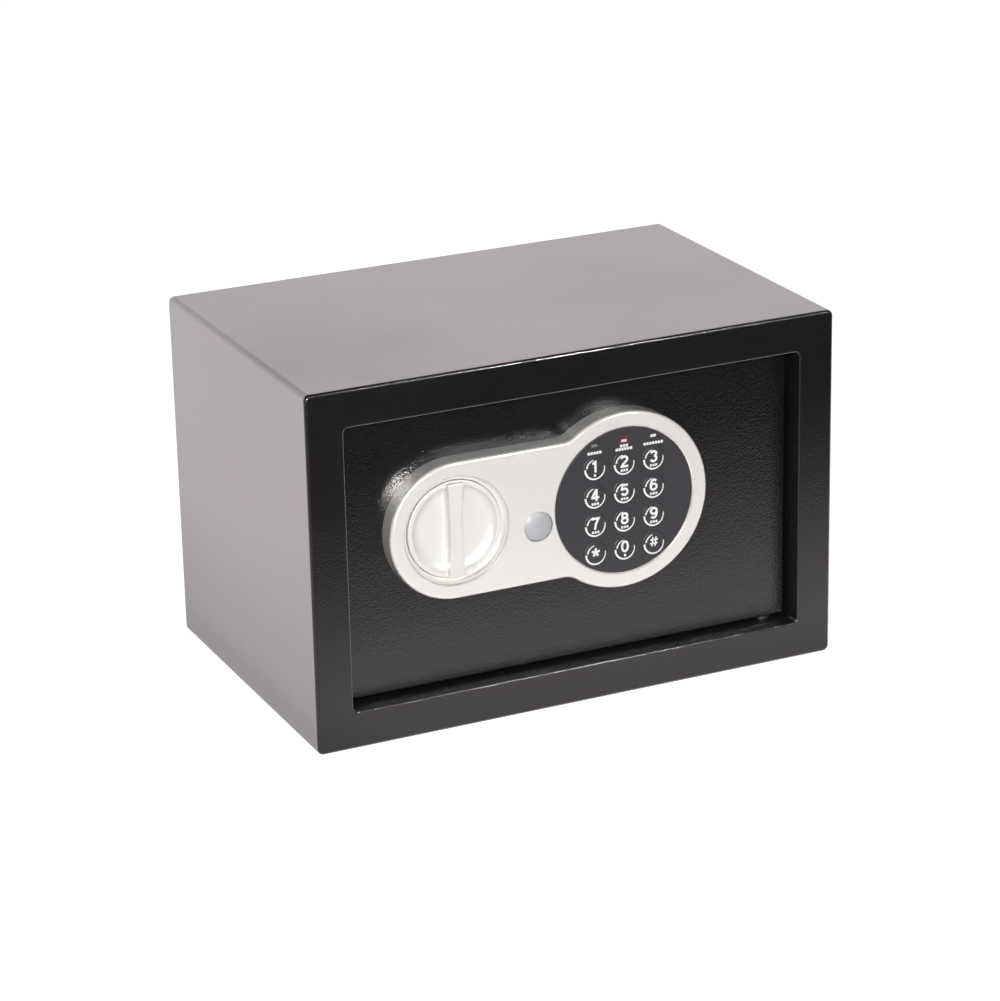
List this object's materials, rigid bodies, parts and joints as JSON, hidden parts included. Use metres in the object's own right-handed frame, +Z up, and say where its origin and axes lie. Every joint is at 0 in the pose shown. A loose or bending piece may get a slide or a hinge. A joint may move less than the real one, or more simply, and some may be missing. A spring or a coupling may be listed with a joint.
{
  "type": "electronic safe",
  "caption": "Small black steel safe with a recessed hinged door, silver keypad panel, turning knob, sliding bolts and an emergency key lock.",
  "frame": {"origin": "centre of the base, on the surface that the safe stands on", "axes": "+X to the right seen from the front, along the width; +Y from the door to the back; +Z up"},
  "size_m": [0.31, 0.2, 0.2],
  "materials": {
    "cabinet_paint": "black powder coat, semi-gloss, fine orange-peel texture",
    "door_paint": "black powder coat with a fine leather-like texture",
    "panel_silver": "silver-grey painted moulding, satin",
    "keypad_dark": "dark grey, fine satin",
    "light_lens": "small translucent windows",
    "plug_grey": "smooth blue-grey plastic, domed",
    "steel": "zinc-plated steel",
    "brass": "turned brass",
    "copper": "enamelled copper winding",
    "board_green": "green circuit board",
    "cable_grey": "flat grey ribbon",
    "cover_black": "black moulded plastic, fine grain",
    "battery_green": "plain green sleeve",
    "mat_grey": "short grey felt",
    "button_red": "red rubber"
  },
  "bodies": {
    "cabinet": {"body_shell": "cabinet_paint", "front_frame": "cabinet_paint", "back_panel": "cabinet_paint", "floor_mat": "mat_grey", "hinge_washers": "steel"},
    "door": {"door_plate": "door_paint", "hinge_brackets": "steel", "hinge_pins": "steel", "panel_housing": "panel_silver", "keypad_face": "keypad_dark", "indicator_lights": "light_lens", "keypad_board": "board_green", "lock_housing": "steel", "lock_nut": "steel", "knob_bush": "brass", "bolt_guide": "steel", "guide_studs": "steel", "solenoid_frame": "steel", "solenoid_coil": "copper", "main_board": "board_green", "ribbon_cable": "cable_grey", "battery_box": "cover_black", "batteries": "battery_green", "battery_contacts": "steel", "inner_cover": "cover_black", "cover_screws": "steel", "panel_screws": "steel"},
    "knob": {"knob": "panel_silver", "knob_shaft": "steel"},
    "bolts": {"bolt_carriage": "steel", "upper_bolt": "steel", "lower_bolt": "steel"},
    "plunger": {"solenoid_plunger": "steel", "plunger_spring": "steel"},
    "lock_core": {"lock_cylinder": "brass", "lock_cam": "steel"},
    "plug": {"key_plug": "plug_grey"},
    "battery_cover": {"battery_cover": "cover_black"},
    "reset_button": {"reset_button": "button_red"},
    "key_1": {"key_1": "keypad_dark"},
    "key_2": {"key_2": "keypad_dark"},
    "key_3": {"key_3": "keypad_dark"},
    "key_4": {"key_4": "keypad_dark"},
    "key_5": {"key_5": "keypad_dark"},
    "key_6": {"key_6": "keypad_dark"},
    "key_7": {"key_7": "keypad_dark"},
    "key_8": {"key_8": "keypad_dark"},
    "key_9": {"key_9": "keypad_dark"},
    "key_star": {"key_star": "keypad_dark"},
    "key_0": {"key_0": "keypad_dark"},
    "key_hash": {"key_hash": "keypad_dark"}
  },
  "joints": [
    {"name": "door_hinge", "type": "hinge", "parent": "cabinet", "child": "door", "pos_m": [0.12116, -0.082, 0.1], "axis": [0, 0, 1], "range_deg": [0, 100]},
    {"name": "knob_turn", "type": "hinge", "parent": "door", "child": "knob", "pos_m": [-0.0713, -0.099, 0.11175], "axis": [0, -1, 0], "range_deg": [0, 90]},
    {"name": "bolts_slide", "type": "slide", "parent": "door", "child": "bolts", "axis": [-1, 0, 0], "range_m": [0, 0.01414]},
    {"name": "plunger_slide", "type": "slide", "parent": "door", "child": "plunger", "axis": [0, 0, 1], "range_m": [0, 0.0061], "deforming": ["plunger_spring"]},
    {"name": "lock_turn", "type": "hinge", "parent": "door", "child": "lock_core", "pos_m": [-0.024, -0.099, 0.10575], "axis": [0, 1, 0], "range_deg": [0, 90]},
    {"name": "plug_pull", "type": "slide", "parent": "door", "child": "plug", "axis": [0, -1, 0], "range_m": [0, 0.02]},
    {"name": "battery_cover_slide", "type": "slide", "parent": "door", "child": "battery_cover", "axis": [-1, 0, 0], "range_m": [0, 0.067]},
    {"name": "reset_press", "type": "slide", "parent": "door", "child": "reset_button", "axis": [0, -1, 0], "range_m": [0, 0.0015], "stiffness_N_per_m": 600},
    {"name": "key_1_press", "type": "slide", "parent": "door", "child": "key_1", "axis": [0, 1, 0], "range_m": [0, 0.0008], "stiffness_N_per_m": 800},
    {"name": "key_2_press", "type": "slide", "parent": "door", "child": "key_2", "axis": [0, 1, 0], "range_m": [0, 0.0008], "stiffness_N_per_m": 800},
    {"name": "key_3_press", "type": "slide", "parent": "door", "child": "key_3", "axis": [0, 1, 0], "range_m": [0, 0.0008], "stiffness_N_per_m": 800},
    {"name": "key_4_press", "type": "slide", "parent": "door", "child": "key_4", "axis": [0, 1, 0], "range_m": [0, 0.0008], "stiffness_N_per_m": 800},
    {"name": "key_5_press", "type": "slide", "parent": "door", "child": "key_5", "axis": [0, 1, 0], "range_m": [0, 0.0008], "stiffness_N_per_m": 800},
    {"name": "key_6_press", "type": "slide", "parent": "door", "child": "key_6", "axis": [0, 1, 0], "range_m": [0, 0.0008], "stiffness_N_per_m": 800},
    {"name": "key_7_press", "type": "slide", "parent": "door", "child": "key_7", "axis": [0, 1, 0], "range_m": [0, 0.0008], "stiffness_N_per_m": 800},
    {"name": "key_8_press", "type": "slide", "parent": "door", "child": "key_8", "axis": [0, 1, 0], "range_m": [0, 0.0008], "stiffness_N_per_m": 800},
    {"name": "key_9_press", "type": "slide", "parent": "door", "child": "key_9", "axis": [0, 1, 0], "range_m": [0, 0.0008], "stiffness_N_per_m": 800},
    {"name": "key_star_press", "type": "slide", "parent": "door", "child": "key_star", "axis": [0, 1, 0], "range_m": [0, 0.0008], "stiffness_N_per_m": 800},
    {"name": "key_0_press", "type": "slide", "parent": "door", "child": "key_0", "axis": [0, 1, 0], "range_m": [0, 0.0008], "stiffness_N_per_m": 800},
    {"name": "key_hash_press", "type": "slide", "parent": "door", "child": "key_hash", "axis": [0, 1, 0], "range_m": [0, 0.0008], "stiffness_N_per_m": 800}
  ],
  "couplings": [
    {"joint": "knob_turn", "follows": "bolts_slide", "rad_per_m": 111.07},
    {"joint": "plunger_slide", "follows": "bolts_slide", "ratio": 0.42427}
  ]
}
